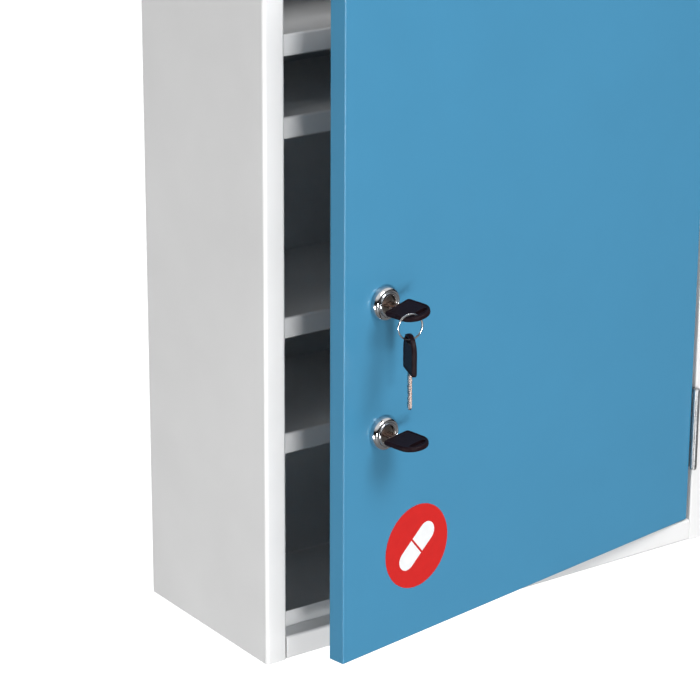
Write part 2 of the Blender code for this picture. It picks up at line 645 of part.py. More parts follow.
def key_bow(name, frame):
    """Plastic key bow with a cross slot for the ring; its shoulder is at y = 0, reaching to -Y."""
    half = BOW_THICKNESS / 2

    def slab(drawing):
        prism(drawing, bow_outline(), -half, half, 'Z')
        rims = [edge for edge in drawing.edges if abs(edge.verts[0].co.z - edge.verts[1].co.z) < 1e-7]
        bmesh.ops.bevel(drawing, geom=rims, offset=BOW_EDGE, offset_type='OFFSET', segments=2,
                        profile=0.5, affect='EDGES')
    item = add(name, slab, BLACK, frame)

    def slot(drawing):
        outline = [(x, y - BOW_SLOT_AT) for x, y in rounded(BOW_SLOT[0], BOW_SLOT[1], BOW_SLOT_CORNER, 4)]
        prism(drawing, outline, -2 * half, 2 * half, 'Z')
    cut(item, slot)
    return item


def key_blade(name, frame):
    """Flat steel blade with bitting cuts down one edge and a pointed tip."""
    half, tip = BLADE_WIDTH / 2, BLADE_WIDTH * 0.3
    pitch = BLADE_LENGTH * 0.16
    outline = [(-half, GAP), (half, GAP)]
    for index, depth in enumerate(BLADE_CUTS):
        start = BLADE_LENGTH * 0.28 + index * pitch
        outline += [(half, start), (half - depth, start + pitch * 0.25),
                    (half - depth, start + pitch * 0.55), (half, start + pitch * 0.8)]
    outline += [(half, BLADE_LENGTH - tip), (half - tip, BLADE_LENGTH), (tip - half, BLADE_LENGTH),
                (-half, BLADE_LENGTH - tip)]
    thick = BLADE_THICKNESS / 2
    return add(name, lambda d: prism(d, outline, -thick, thick, 'Z'), BRASS, frame)


def key(name, frame):
    key_bow(f'{name}_bow', frame)
    key_blade(f'{name}_blade', frame)


def lock(name, height, tilt):
    """One cam lock with its key; returns the key's frame, whose origin is the bow's shoulder."""
    fixed = lock_frame(height)
    turning = fixed @ Matrix.Rotation(-tilt, 4, 'Y')
    housing(f'{name}_housing', fixed)
    nut(f'{name}_nut', fixed)
    plug(f'{name}_plug', turning)
    cam(f'{name}_cam', turning)
    cam_screw(f'{name}_cam_screw', turning)
    key_frame = turning @ Matrix.Translation((0, -BOW_REACH, 0))
    key(f'{name}_key', key_frame)
    return key_frame


def ring_place(key_frame):
    """Ring centre, below the middle of the bow's material left of its slot."""
    along = BOW_SLOT_AT - RING_BACK
    beyond = max(0.0, along - BOW_STRAIGHT) / (BOW_LENGTH - BOW_STRAIGHT)
    edge = BOW_WIDTH / 2 * sqrt(1 - beyond ** 2)
    bridge = Vector((-(BOW_SLOT[0] / 2 + edge) / 2, -along, 0))
    return key_frame @ bridge - Vector((0, 0, RING_DROP))


def key_ring(key_frame):
    """Steel ring through the upper key's bow; returns its centre."""
    centre = ring_place(key_frame)
    frame = Matrix.Translation(centre) @ Matrix.Rotation(RING_TURN, 4, 'Z')
    steps, sides = 40, 8

    def torus(drawing):
        rings = []
        for i in range(steps):
            angle = 2 * pi * i / steps
            out = Vector((cos(angle), 0, sin(angle)))
            rings.append([drawing.verts.new(out * (RING_RADIUS + RING_WIRE * cos(2 * pi * j / sides))
                                            + Vector((0, RING_WIRE * sin(2 * pi * j / sides), 0)))
                          for j in range(sides)])
        for i in range(steps):
            for j in range(sides):
                here, there = rings[i], rings[(i + 1) % steps]
                drawing.faces.new((here[j], here[(j + 1) % sides], there[(j + 1) % sides], there[j]))
    add('key_ring', torus, CHROME, frame)
    return centre


def spare_key(ring_centre):
    """Second key, hanging blade down from the ring by the end of its bow."""
    end_bar = BOW_LENGTH - BOW_SLOT_AT - BOW_SLOT[1] / 2
    inside = sqrt((RING_RADIUS - RING_WIRE) ** 2 - (BOW_THICKNESS / 2) ** 2)
    bar_low = ring_centre.z - inside + GAP
    shoulder = Vector((ring_centre.x, ring_centre.y, bar_low + end_bar - BOW_LENGTH))
    frame = Matrix.Translation(shoulder) @ Matrix.Rotation(SPARE_TURN, 4, 'Z') @ Matrix.Rotation(-pi / 2, 4, 'X')
    key('spare_key', frame)


# ---------------------------------------------------------------- assembly
def build():
    clear_scene()
    side_panel('side_left', -1)
    side_panel('side_right', 1)
    end_panel('bottom_panel', False)
    end_panel('top_panel', True)
    back_panel()
    for place in standard_places():
        standard(*place)
    for number, slots_down in enumerate(SHELF_SLOTS, 1):
        shelf(number, slots_down)
        for place in standard_places():
            clip(number, slots_down, *place)
    door_pan()
    door_stiffener()
    label()
    hinge('lower', DOOR_BOTTOM + HINGE_INSET)
    hinge('upper', DOOR_BOTTOM + DOOR_HEIGHT - HINGE_INSET)
    upper_key = lock('lock_upper', LOCK_HEIGHTS[0], KEY_TILTS[0])
    lock('lock_lower', LOCK_HEIGHTS[1], KEY_TILTS[1])
    spare_key(key_ring(upper_key))


build()
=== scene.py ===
"""Looks of the wall-mounted medicine cabinet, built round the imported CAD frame.

The frame is in metres: X right along the front, Y back to the wall, Z up. A piece of a lock, a
key or the label is drawn in millimetres in a frame of its own. On the door that frame has X along
the door, Y into the cabinet from the door's face, and Z up. A key lies flat in its frame, with its
shoulder at the origin, its blade along Y and its bow the other way.
"""
import json
from math import cos, pi, radians, sin, sqrt

import bmesh
import bpy
from mathutils import Matrix, Vector

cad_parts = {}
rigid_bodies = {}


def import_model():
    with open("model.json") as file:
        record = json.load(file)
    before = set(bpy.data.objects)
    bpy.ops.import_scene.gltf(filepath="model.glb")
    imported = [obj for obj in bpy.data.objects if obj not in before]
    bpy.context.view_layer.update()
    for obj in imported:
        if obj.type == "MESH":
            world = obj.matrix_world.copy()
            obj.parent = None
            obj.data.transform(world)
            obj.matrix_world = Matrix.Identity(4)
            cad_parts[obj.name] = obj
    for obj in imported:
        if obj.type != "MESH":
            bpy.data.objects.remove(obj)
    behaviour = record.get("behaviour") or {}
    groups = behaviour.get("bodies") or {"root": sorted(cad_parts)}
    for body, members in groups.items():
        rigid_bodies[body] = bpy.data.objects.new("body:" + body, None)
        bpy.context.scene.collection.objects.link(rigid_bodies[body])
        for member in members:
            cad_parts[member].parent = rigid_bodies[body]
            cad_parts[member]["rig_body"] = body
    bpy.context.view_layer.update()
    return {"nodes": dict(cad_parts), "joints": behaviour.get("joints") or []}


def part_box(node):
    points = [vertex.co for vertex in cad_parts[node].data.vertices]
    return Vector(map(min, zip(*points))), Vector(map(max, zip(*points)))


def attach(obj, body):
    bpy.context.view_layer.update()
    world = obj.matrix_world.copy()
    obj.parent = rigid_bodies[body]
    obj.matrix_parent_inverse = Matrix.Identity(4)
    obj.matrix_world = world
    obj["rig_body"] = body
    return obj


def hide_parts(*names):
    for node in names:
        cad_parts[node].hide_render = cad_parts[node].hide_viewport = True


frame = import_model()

MM = 0.001
JOINTS = {joint['name']: joint for joint in frame['joints']}

# ---------------------------------------------------------------- edges, metres and degrees
EDGE = 0.26 * MM            # rounding of cut sheet edges
SHELF_EDGE = 0.2 * MM
FINE_EDGE = 0.12 * MM       # rounding of small hardware
BLADE_EDGE = 0.09 * MM
EDGE_SEGMENTS = 2
SHARP = 35                  # an edge bent further than this is an edge, not a curve
HARDWARE_SHARP = 40
BLADE_SHARP = 30
FLAT = 0.8                  # CAD triangles bent less than this make one flat face
WELD = 0.01 * MM            # CAD corners nearer than this are one
CUT_WELD = 0.002 * MM       # the same after a boolean

# ---------------------------------------------------------------- how things stand at rest
DOOR_OPEN = radians(9.45)
KEY_TILTS = {'upper': radians(11), 'lower': radians(5)}
SPARE_TURN = radians(69.4)
RING_TURN = radians(-10.5)
LABEL_TURN = radians(40)

# ---------------------------------------------------------------- locks, mm: radius and Y
ROSETTE_STEPS = 96
BARREL_AND_RIM = [(9.0, 15.0), (9.0, -0.3), (11.95, -0.3), (12.1, -0.45)]
CROWN_STEPS = 10
CROWN_RADIUS, CROWN_Y = 9.2, -0.9           # middle of the dome's quarter ellipse
CROWN_WIDTH, CROWN_HEIGHT = 2.9, 4.6
GROOVE_AND_LIP = [(9.0, -5.48), (8.82, -5.34), (8.7, -5.1), (8.62, -4.75), (8.5, -4.68), (8.4, -4.8),
                  (8.34, -5.3), (8.28, -5.8), (8.14, -6.08), (7.9, -6.2), (7.1, -6.2), (6.82, -6.14),
                  (6.62, -5.95), (6.52, -5.6), (6.5, -5.0), (6.5, 15.0)]
PLUG_STEPS = 64
PLUG_PROFILE = ((2.9, 18.0), (2.9, 16.0), (6.0, 16.0), (6.2, 15.8), (6.2, -3.75), (6.05, -3.95), (5.8, -4.0),
                (5.35, -4.0), (5.2, -3.85), (0.9, -3.85))
KEYWAY_WARDS = ((-3.5, -0.98), (1.6, -0.98), (1.9, -0.55), (2.5, -0.55), (2.8, -0.98), (3.5, -0.98),
                (3.5, 0.98), (-0.4, 0.98), (-0.8, 0.6), (-1.7, 0.6), (-2.1, 0.98), (-3.5, 0.98))
KEYWAY_MOUTH = ((-8, 1.12, 1.4), (-4.05, 1.05, 1.18), (-3.6, 1, 1), (11.8, 1, 1))   # Y, wider, taller

# ---------------------------------------------------------------- keys, mm
BOW_REACH = 12.5 * MM                       # a lock key's shoulder in front of the door's face
LOCK_KEY_SLOT_AT, SPARE_KEY_SLOT_AT = 20.9, 22.2    # shoulder to the middle of the bow's slot
BOW_HALF, BOW_CORNER = 11.5, 1.6
BOW_STRAIGHT, BOW_LENGTH = 15.0, 26.5       # from the shoulder: straight sides, and the whole bow
CORNER_STEPS = 4
BOW_END_STEPS = 16
BOW_SIDE = ((0.0, 0.75), (0.12, 1.2), (0.45, 1.6), (0.95, 1.8), (1.5, 1.8), (1.75, 1.72), (1.9, 1.5),
            (2.1, 1.42))                    # inset and height, from the edge over the rim to the panel
COLLAR, SLOT = (15.0, 5.4, 2.2), (13.0, 3.5, 1.3)   # width, height and corner radius
COLLAR_SIDE = ((-0.35, -1.66), (-0.06, -1.58), (0, -1.3), (0, 1.3), (-0.06, 1.58), (-0.35, 1.66))
SLOT_SIDE = ((0.4, -1.9), (0.1, -1.56), (0, -1.3), (0, 1.3), (0.1, 1.56), (0.4, 1.9))   # flare, height
SLOT_CORNER_STEPS = 6
BLADE_LENGTH, BLADE_HALF, BLADE_START = 26.0, 3.25, 0.3
BLADE_THICK = 1.5
BIT_DEPTHS = (0.9, 0.5, 1.1, 0.7)
BIT_START, BIT_PITCH = 0.28, 0.16           # shares of the blade's length
BIT_SHAPE = ((0, 0), (1, 1.0), (1, 2.2), (0, 3.2))      # share of the depth, way along
TIP_SLOPE = (2.0, 1.9)
GROOVE_Y = (1.2, 30)
GROOVES = ((0.42, 1.5, -2.1, -0.9), (-1.5, -0.42, 0.1, 1.4))    # lowest and highest Z, left and right X

RING_STEPS, RING_SIDES = 150, 12
RING_RADIUS, RING_TURNS = 8.75, 1.92
RING_START = radians(200)
WIRE_OUT, WIRE_ACROSS = 0.55, 0.31          # half sizes of the wire, out from the middle and across
COIL_OFFSET = 0.32                          # from the ring's middle plane to each coil
CROSSING, CROSSING_SHARE = 0.44, 0.08       # where the coils cross, and the share of the wire it takes
TIP_THIN = 0.55                             # share of the wire left at its two ends

# ---------------------------------------------------------------- label, mm
LABEL_STEPS = 128
LABEL_HALF = 0.45 * MM                      # from the middle of the CAD disc back to the door's face
LABEL_PROFILE = ((30.5, -0.02), (30.6, -0.06), (30.6, -0.15), (30.45, -0.2))
CAPSULE_GAP, CAPSULE_REACH, CAPSULE_RADIUS = 0.8, 12.5, 7.5
CAPSULE_STEPS = 24
CAPSULE_Y = (-0.30, -0.21)

# ---------------------------------------------------------------- materials
NOISE_LOW, NOISE_HIGH = 0.3, 0.7            # where noise mostly lies
NOISE_ROUGHNESS = 0.55
ORANGE_PEEL = 0.012 * MM

# ---------------------------------------------------------------- studio and camera
FLOOR_Z, FLOOR_HALF = -0.9, 30
FLOOR_DARK, FLOOR_LIGHT = (0.49, 0.49, 0.49), (0.51, 0.51, 0.51)
FLOOR_GLOW, FLOOR_GLOW_SEEN = 0.05, 0.9     # emission, and the same to the camera
FLOOR_MIRRORED = 0.14                       # grey of the floor in a reflection
SKY_DARK_AT, SKY_DARK = 0.28, (0.015, 0.015, 0.015, 1)
SKY_PALE_AT, SKY_PALE = 0.60, (0.70, 0.70, 0.70, 1)
CAMERA_PLACE = (-1.2008, -1.67046, 0.60979)
CAMERA_YAW, CAMERA_PITCH, CAMERA_ROLL = radians(35.1079), radians(19.4846), radians(0.2385)
CAMERA_SENSOR, CAMERA_LENS = 36, 147.542


# ---------------------------------------------------------------- materials
class Finish:
    """A procedural material: a Principled shader fed by noise in the piece's own coordinates."""

    def __init__(self, name, metallic=0.0, **shader_values):
        self.material = bpy.data.materials.new(name)
        self.material.use_nodes = True
        self.tree = self.material.node_tree
        self.shader = self.tree.nodes['Principled BSDF']
        self.shader.inputs['Metallic'].default_value = metallic
        for socket, value in shader_values.items():
            self.shader.inputs[socket.replace('_', ' ')].default_value = value
        self.place = self.node('ShaderNodeTexCoord').outputs['Object']

    def node(self, kind):
        return self.tree.nodes.new(kind)

    def link(self, source, target):
        self.tree.links.new(source, target)

    def noise(self, scale, detail=3, stretch=(1, 1, 1)):
        """Noise with so many features to the metre, in the piece's own coordinates."""
        mapping = self.node('ShaderNodeMapping')
        mapping.inputs['Scale'].default_value = stretch
        self.link(self.place, mapping.inputs['Vector'])
        made = self.node('ShaderNodeTexNoise')
        made.inputs['Scale'].default_value = scale
        made.inputs['Detail'].default_value = detail
        made.inputs['Roughness'].default_value = NOISE_ROUGHNESS
        self.link(mapping.outputs['Vector'], made.inputs['Vector'])
        return made.outputs['Fac']

    def ramp(self, source, low, dark, high, light):
        """A colour that goes from dark at one value of a factor to light at another."""
        made = self.node('ShaderNodeValToRGB')
        for point, at, colour in zip(made.color_ramp.elements, (low, high), (dark, light)):
            point.position = at
            point.color = (*colour, 1)
        self.link(source, made.inputs['Fac'])
        return made.outputs['Color']

    def clouded(self, source, colour, darkest, lightest, low=NOISE_LOW, high=NOISE_HIGH):
        """Base colour that wanders between two shares of one colour."""
        dark, light = ([min(1, part * share) for part in colour] for share in (darkest, lightest))
        self.colour(self.ramp(source, low, dark, high, light))

    def colour(self, source):
        self.link(source, self.shader.inputs['Base Color'])

    def roughness(self, source, low, high):
        """Roughness from low to high over the values where noise mostly lies."""
        made = self.node('ShaderNodeMapRange')
        made.inputs['From Min'].default_value = NOISE_LOW
        made.inputs['From Max'].default_value = NOISE_HIGH
        made.inputs['To Min'].default_value = low
        made.inputs['To Max'].default_value = high
        self.link(source, made.inputs['Value'])
        self.link(made.outputs['Result'], self.shader.inputs['Roughness'])

    def bump(self, *layers):
        """Bump from (factor, height in metres) layers, one over the other."""
        below = None
        for factor, height in layers:
            made = self.node('ShaderNodeBump')
            made.inputs['Strength'].default_value = 1.0
            made.inputs['Distance'].default_value = height
            self.link(factor, made.inputs['Height'])
            if below is not None:
                self.link(below, made.inputs['Normal'])
            below = made.outputs['Normal']
        self.link(below, self.shader.inputs['Normal'])


def powder(name, colour, spread=0.03, gloss=0.36):
    """Powder coat: slight orange peel, faint clouding of colour and of gloss."""
    made = Finish(name, Coat_Weight=0.12, Coat_Roughness=0.22)
    made.clouded(made.noise(14, 2), colour, 1 - spread, 1 + spread, 0.25, 0.75)
    made.roughness(made.noise(60), gloss - 0.04, gloss + 0.06)
    made.bump((made.noise(520, 2), ORANGE_PEEL), (made.noise(2600, 2), ORANGE_PEEL * 0.3))
    return made.material


def bright_metal(name, colour, low, high, stretch=(1, 1, 1), grain=900, height=0.002 * MM, spread=0.06):
    """Bare or plated metal with a grain that may be drawn out along one direction."""
    made = Finish(name, metallic=1.0)
    made.clouded(made.noise(240, 3, stretch), colour, 1 - spread, 1 + spread)
    made.roughness(made.noise(grain, 4, stretch), low, high)
    made.bump((made.noise(grain * 1.7, 3, stretch), height))
    return made.material


def zinc_plate(name):
    """Zinc plate: faint spangle in the colour and the gloss."""
    made = Finish(name, metallic=1.0)
    cells = made.node('ShaderNodeTexVoronoi')
    cells.inputs['Scale'].default_value = 420
    made.link(made.place, cells.inputs['Vector'])
    made.colour(made.ramp(cells.outputs['Color'], 0.1, (0.52, 0.53, 0.54), 0.9, (0.68, 0.69, 0.70)))
    made.roughness(made.noise(700), 0.26, 0.42)
    made.bump((made.noise(1500, 2), 0.004 * MM))
    return made.material


def moulded(name, colour):
    """Moulded plastic with a fine spark-eroded grain."""
    made = Finish(name, Specular_IOR_Level=0.10)
    made.clouded(made.noise(300, 2), colour, 0.8, 1.25)
    made.roughness(made.noise(1200), 0.36, 0.50)
    made.bump((made.noise(4200, 2), 0.006 * MM))
    return made.material


def printed(name, colour):
    """Satin printed film: ink density wanders a little over a faint film texture."""
    made = Finish(name, Coat_Weight=0.2, Coat_Roughness=0.3)
    made.clouded(made.noise(160), colour, 0.97, 1.03)
    made.roughness(made.noise(500, 2), 0.34, 0.46)
    made.bump((made.noise(3000, 2), 0.003 * MM))
    return made.material


LOOKS = {
    'powder_white': powder('powder_coat_white', (0.83, 0.83, 0.83)),
    'powder_grey': powder('powder_coat_grey', (0.42, 0.44, 0.46), gloss=0.42),
    'powder_blue': powder('powder_coat_blue', (0.057, 0.255, 0.436), spread=0.02, gloss=0.33),
    'zinc_steel': zinc_plate('zinc_plate'),
    'lock_chrome': bright_metal('chrome_plate', (0.82, 0.83, 0.85), 0.04, 0.08, grain=1400,
                                height=0.0004 * MM, spread=0.015),
    'lock_plug': bright_metal('plug_nickel_brass', (0.31, 0.27, 0.24), 0.26, 0.42, height=0.003 * MM),
    'key_steel': bright_metal('key_blank', (0.56, 0.43, 0.38), 0.18, 0.34, stretch=(1, 0.08, 1), spread=0.2),
    'ring_steel': bright_metal('ring_steel', (0.78, 0.78, 0.79), 0.12, 0.22),
    'key_black': moulded('key_plastic', (0.0125, 0.0055, 0.0080)),
    'label_red': printed('label_print_red', (0.62, 0.012, 0.010)),
    'label_white': printed('label_print_white', (0.86, 0.87, 0.88)),
}


# ---------------------------------------------------------------- making pieces
def linked(name, data):
    """A new object with that data, in the scene."""
    made = bpy.data.objects.new(name, data)
    bpy.context.scene.collection.objects.link(made)
    return made


def as_object(name, drawing):
    """Turn a bmesh into an object with its faces turned outwards."""
    bmesh.ops.recalc_face_normals(drawing, faces=drawing.faces)
    mesh = bpy.data.meshes.new(name)
    drawing.to_mesh(mesh)
    drawing.free()
    return linked(name, mesh)


def rounded_edges(piece, edge, sharp):
    """Round the sharp edges of a piece, and keep the result inside the piece's own box."""
    low = [min(vert.co[i] for vert in piece.data.vertices) for i in range(3)]
    high = [max(vert.co[i] for vert in piece.data.vertices) for i in range(3)]
    rounding = piece.modifiers.new('edges', 'BEVEL')
    rounding.width = edge
    rounding.segments = EDGE_SEGMENTS
    rounding.limit_method = 'ANGLE'
    rounding.angle_limit = radians(sharp)
    rounding.use_clamp_overlap = False
    bpy.context.view_layer.update()
    graph = bpy.context.evaluated_depsgraph_get()
    mesh = bpy.data.meshes.new_from_object(piece.evaluated_get(graph))
    piece.modifiers.clear()
    piece.data = mesh
    for vert in mesh.vertices:
        vert.co = [min(max(vert.co[i], low[i]), high[i]) for i in range(3)]


def shown(name, drawing, place, node, slot, edge=0.0, sharp=SHARP):
    """Turn a bmesh into a finished piece: placed, rounded, ridden and standing for its CAD node."""
    drawing.transform(place)
    piece = as_object(name, drawing)
    piece.data.materials.append(LOOKS[slot])
    piece.data.shade_smooth()
    if edge:
        rounded_edges(piece, edge, sharp)
    else:
        piece.data.set_sharp_from_angle(angle=radians(sharp))
    flat = piece.modifiers.new('flat_faces', 'WEIGHTED_NORMAL')
    flat.weight = 100
    flat.keep_sharp = True
    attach(piece, frame['nodes'][node]['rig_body'])
    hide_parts(node)


def refined(node, slot, edge=EDGE, sharp=SHARP):
    """The CAD node's own shape, its flat faces whole again, with rounded edges and its finish."""
    source = frame['nodes'][node].data
    drawing = bmesh.new()
    verts = [drawing.verts.new(vert.co) for vert in source.vertices]
    for polygon in source.polygons:
        try:
            drawing.faces.new([verts[i] for i in polygon.vertices])
        except ValueError:      # a face that is there already
            continue
    bmesh.ops.remove_doubles(drawing, verts=drawing.verts, dist=WELD)
    bmesh.ops.dissolve_limit(drawing, angle_limit=radians(FLAT), verts=drawing.verts,
                             edges=drawing.edges, use_dissolve_boundaries=False)
    shown(f'{node}_finished', drawing, Matrix(), node, slot, edge, sharp)


def loft(drawing, loops, closed=False):
    """Skin between loops of as many points each: closed back to the first one, or capped."""
    rings = [[drawing.verts.new(point) for point in loop] for loop in loops]
    count = len(rings[0])
    pairs = list(zip(rings, rings[1:]))
    if closed:
        pairs.append((rings[-1], rings[0]))
    for lower, upper in pairs:
        for i in range(count):
            after = (i + 1) % count
            drawing.faces.new((lower[i], lower[after], upper[after], upper[i]))
    if not closed:
        drawing.faces.new(rings[0][::-1])
        drawing.faces.new(rings[-1])


def circle(radius, y, steps):
    """A loop round the Y axis."""
    return [(radius * MM * cos(2 * pi * i / steps), y * MM, radius * MM * sin(2 * pi * i / steps))
            for i in range(steps)]


def boolean(drawing, operation, draw_other):
    """The drawing after another shape has been cut from it or joined to it."""
    other = bmesh.new()
    draw_other(other)
    helpers = [as_object('working', part) for part in (drawing, other)]
    modifier = helpers[0].modifiers.new('working', 'BOOLEAN')
    modifier.operation = operation
    modifier.solver = 'EXACT'
    modifier.object = helpers[1]
    bpy.context.view_layer.update()
    result = helpers[0].evaluated_get(bpy.context.evaluated_depsgraph_get()).to_mesh()
    made = bmesh.new()
    made.from_mesh(result)
    for helper in helpers:
        bpy.data.objects.remove(helper)
    bmesh.ops.remove_doubles(made, verts=made.verts, dist=CUT_WELD)
    return made


# ---------------------------------------------------------------- locks and keys
def lock_place(which, turn=True):
    """On the door's face at a lock's axis, turned with its plug or not."""
    joint = JOINTS[f'lock_{which}_turn']
    inward = -Vector(joint['axis']).normalized()
    along = inward.cross(Vector((0, 0, 1)))
    place = Matrix((along, inward, (0, 0, 1))).transposed().to_4x4()
    place.translation = Vector(joint['pos_m'])
    return place @ Matrix.Rotation(-KEY_TILTS[which], 4, 'Y') if turn else place


def housing(which):
    """Domed rosette with a groove and a raised ring round the plug, and its barrel."""
    angles = [pi / 2 * i / CROWN_STEPS for i in range(CROWN_STEPS + 1)]
    crown = [(CROWN_RADIUS + CROWN_WIDTH * cos(angle), CROWN_Y - CROWN_HEIGHT * sin(angle))
             for angle in angles]
    drawing = bmesh.new()
    profile = BARREL_AND_RIM + crown + GROOVE_AND_LIP
    loft(drawing, [circle(radius, y, ROSETTE_STEPS) for radius, y in profile], closed=True)
    shown(f'lock_{which}_rosette', drawing, lock_place(which, False), f'lock_{which}_housing', 'lock_chrome')


def plug(which):
    """Plug face with a turned lip, a warded keyway and the tail for the cam."""
    drawing = bmesh.new()
    loft(drawing, [circle(radius, y, PLUG_STEPS) for radius, y in PLUG_PROFILE])

    def keyway(cutter):
        """Warded slot, a little wider at its mouth."""
        loft(cutter, [[(x * wide * MM, y * MM, z * tall * MM) for x, z in KEYWAY_WARDS]
                      for y, wide, tall in KEYWAY_MOUTH])
    drawing = boolean(drawing, 'DIFFERENCE', keyway)
    shown(f'lock_{which}_plug_face', drawing, lock_place(which), f'lock_{which}_plug', 'lock_plug')


def bow_loop(inset, z):
    """Outline of the key bow, inset all round, at height z: corners, sides and elliptical end."""
    half = BOW_HALF - inset
    reach = BOW_LENGTH - inset - BOW_STRAIGHT
    angles = [pi / 2 * i / CORNER_STEPS for i in range(CORNER_STEPS + 1)]
    middle, top = half - BOW_CORNER, -inset - BOW_CORNER
    points = [(-middle - BOW_CORNER * sin(angle), top + BOW_CORNER * cos(angle)) for angle in angles]
    for i in range(BOW_END_STEPS + 1):
        angle = pi * i / BOW_END_STEPS
        points.append((-half * cos(angle), -BOW_STRAIGHT - reach * sin(angle)))
    points += [(middle + BOW_CORNER * cos(angle), top + BOW_CORNER * sin(angle)) for angle in angles]
    return [(x * MM, y * MM, z * MM) for x, y in points]


def slot_loop(size, grow, y, z):
    """Outline of the bow's slot or its rim, grown all round: a rounded rectangle about x 0 and y."""
    width, height, radius = (part + step * grow for part, step in zip(size, (2, 2, 1)))
    corners = ((1, 1, 0), (-1, 1, pi / 2), (-1, -1, pi), (1, -1, 3 * pi / 2))
    points = []
    for right, up, start in corners:
        for i in range(SLOT_CORNER_STEPS + 1):
            angle = start + pi / 2 * i / SLOT_CORNER_STEPS
            points.append(((right * (width / 2 - radius) + radius * cos(angle)) * MM,
                           (up * (height / 2 - radius) + radius * sin(angle) + y) * MM, z * MM))
    return points


def bow(name, node, place, slot_at):
    """Moulded bow: rounded edge, raised rim, sunk panels on both faces and a rimmed cross slot."""
    drawing = bmesh.new()
    lower = [bow_loop(inset, -z) for inset, z in BOW_SIDE[::-1]]
    loft(drawing, lower + [bow_loop(inset, z) for inset, z in BOW_SIDE])

    def collar(other):
        loft(other, [slot_loop(COLLAR, grow, -slot_at, z) for grow, z in COLLAR_SIDE])

    def slot(other):
        loft(other, [slot_loop(SLOT, grow, -slot_at, z) for grow, z in SLOT_SIDE])
    drawing = boolean(drawing, 'UNION', collar)
    drawing = boolean(drawing, 'DIFFERENCE', slot)
    shown(name, drawing, place, node, 'key_black')


def blade(name, node, place):
    """Key blade: bitting down one edge, a milled groove in each flat and a pointed tip."""
    outline = [(-BLADE_HALF, BLADE_START), (BLADE_HALF, BLADE_START)]
    for index, depth in enumerate(BIT_DEPTHS):
        start = BLADE_LENGTH * BIT_START + index * BLADE_LENGTH * BIT_PITCH
        outline += [(BLADE_HALF - share * depth, start + along) for share, along in BIT_SHAPE]
    across, along = TIP_SLOPE
    outline += [(BLADE_HALF, BLADE_LENGTH - along), (BLADE_HALF - across, BLADE_LENGTH),
                (-BLADE_HALF + across, BLADE_LENGTH), (-BLADE_HALF, BLADE_LENGTH - along)]
    drawing = bmesh.new()
    loft(drawing, [[(x * MM, y * MM, z * MM) for x, y in outline]
                   for z in (-BLADE_THICK / 2, BLADE_THICK / 2)])

    def grooves(cutter):
        for low, high, left, right in GROOVES:
            near, far = GROOVE_Y
            path = ((left, near), (right, near), (right, far), (left, far))
            loft(cutter, [[(x * MM, y * MM, z * MM) for x, y in path] for z in (low, high)])
    drawing = boolean(drawing, 'DIFFERENCE', grooves)
    shown(name, drawing, place, node, 'key_steel', BLADE_EDGE, BLADE_SHARP)


def key(name, place, slot_at):
    """One key: bow and blade."""
    bow(f'{name}_bow_moulded', f'{name}_bow', place, slot_at)
    blade(f'{name}_blade_milled', f'{name}_blade', place)


def key_ring():
    """Split ring: nearly two turns of flattened wire that pass over from one coil to the other."""
    low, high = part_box('key_ring')
    place = Matrix.Translation((low + high) / 2) @ Matrix.Rotation(RING_TURN, 4, 'Z')
    loops = []
    for i in range(RING_STEPS + 1):
        share = i / RING_STEPS
        angle = 2 * pi * RING_TURNS * share + RING_START
        out = Vector((cos(angle), 0, sin(angle)))
        swap = min(1, max(0, (share - CROSSING) / CROSSING_SHARE))
        offset = COIL_OFFSET * (1 - 2 * swap * swap * (3 - 2 * swap))
        to_tip = min(share, 1 - share) * RING_STEPS
        thin = TIP_THIN + (1 - TIP_THIN) * sqrt(min(1, to_tip / 2))
        centre = out * RING_RADIUS + Vector((0, offset, 0))
        loop = []
        for j in range(RING_SIDES):
            turn = 2 * pi * j / RING_SIDES
            across = Vector((0, WIRE_ACROSS * thin * sin(turn), 0))
            loop.append((centre + out * WIRE_OUT * thin * cos(turn) + across) * MM)
        loops.append(loop)
    drawing = bmesh.new()
    loft(drawing, loops)
    shown('key_ring_split', drawing, place, 'key_ring', 'ring_steel')


def spare_key_place():
    """The spare key's shoulder, hanging blade down from the ring."""
    low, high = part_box('spare_key_bow')
    middle = (low + high) / 2
    return (Matrix.Translation((middle.x, middle.y, low.z)) @ Matrix.Rotation(SPARE_TURN, 4, 'Z')
            @ Matrix.Rotation(-pi / 2, 4, 'X'))


# ---------------------------------------------------------------- label
def label():
    """A thin printed disc with a capsule sign in two halves."""
    low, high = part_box('label_disc')
    place = (Matrix.Translation((low + high) / 2) @ Matrix.Rotation(DOOR_OPEN, 4, 'Z')
             @ Matrix.Translation((0, LABEL_HALF, 0)))
    drawing = bmesh.new()
    loft(drawing, [circle(radius, y, LABEL_STEPS) for radius, y in LABEL_PROFILE])
    shown('label_print', drawing, place, 'label_disc', 'label_red')
    angles = [pi * i / CAPSULE_STEPS for i in range(CAPSULE_STEPS + 1)]
    outline = [(CAPSULE_REACH + CAPSULE_RADIUS * sin(angle), CAPSULE_RADIUS * cos(angle)) for angle in angles]
    outline = [(CAPSULE_GAP, CAPSULE_RADIUS)] + outline + [(CAPSULE_GAP, -CAPSULE_RADIUS)]
    for name, hand in (('lower', -1), ('upper', 1)):
        turned = [(hand * (x * cos(LABEL_TURN) - z * sin(LABEL_TURN)) * MM,
                   hand * (x * sin(LABEL_TURN) + z * cos(LABEL_TURN)) * MM) for x, z in outline]
        drawing = bmesh.new()
        loft(drawing, [[(x, y * MM, z) for x, z in turned] for y in CAPSULE_Y])
        shown(f'label_capsule_{name}', drawing, place, f'label_pill_{name}', 'label_white')


